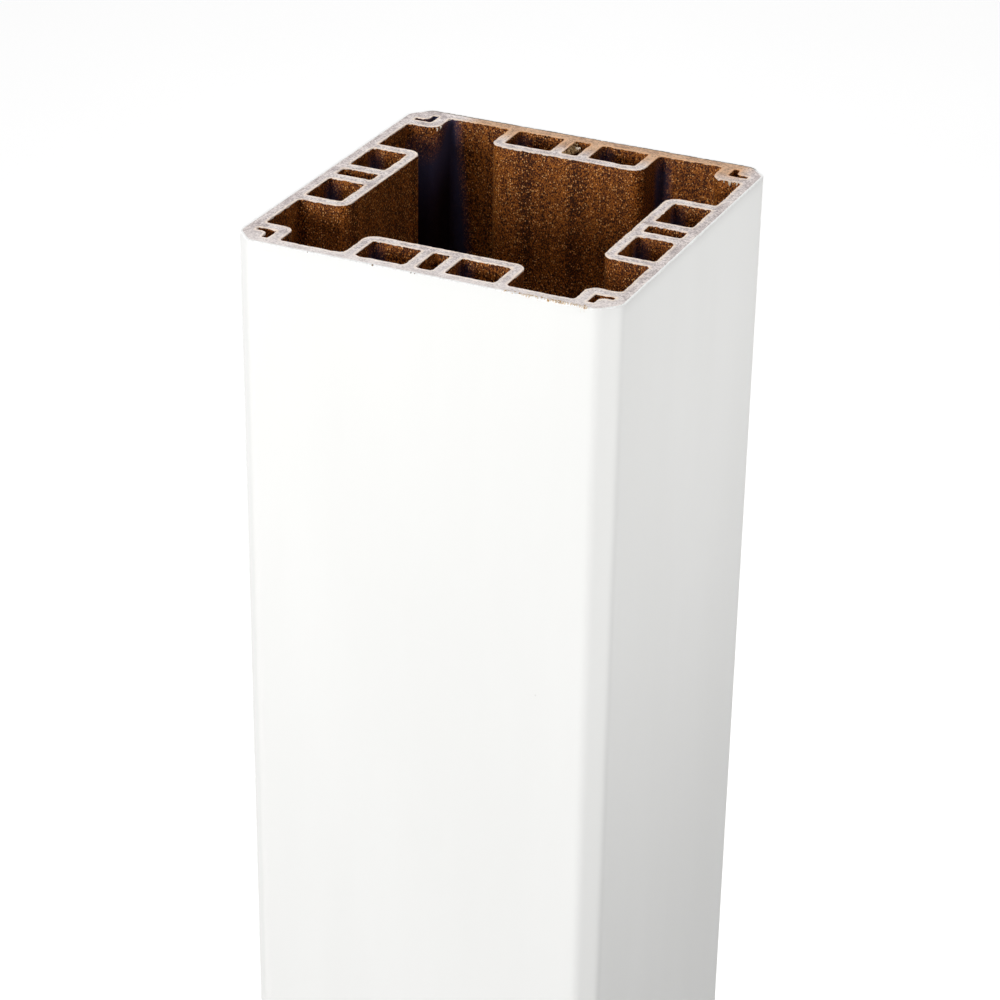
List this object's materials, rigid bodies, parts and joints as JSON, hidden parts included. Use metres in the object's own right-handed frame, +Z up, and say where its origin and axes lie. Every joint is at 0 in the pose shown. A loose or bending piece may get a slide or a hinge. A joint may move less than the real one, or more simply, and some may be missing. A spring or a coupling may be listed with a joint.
{
  "type": "post sleeve",
  "caption": "Square hollow post sleeve of brown wood-plastic composite with a white cap layer, pads inside each wall and a slotted boss in each corner.",
  "frame": {"origin": "centre of the lower sawn end, on the surface that the sleeve stands on", "axes": "+Z up along the length, X and Y square to the four faces"},
  "size_m": [0.1396, 0.1396, 1.0668],
  "materials": {
    "composite_core": "brown wood-plastic composite with light flecks, sawn tan at the ends",
    "white_cap": "smooth satin white"
  },
  "bodies": {
    "root": {"core": "composite_core", "cap_layer": "white_cap"}
  },
  "joints": []
}
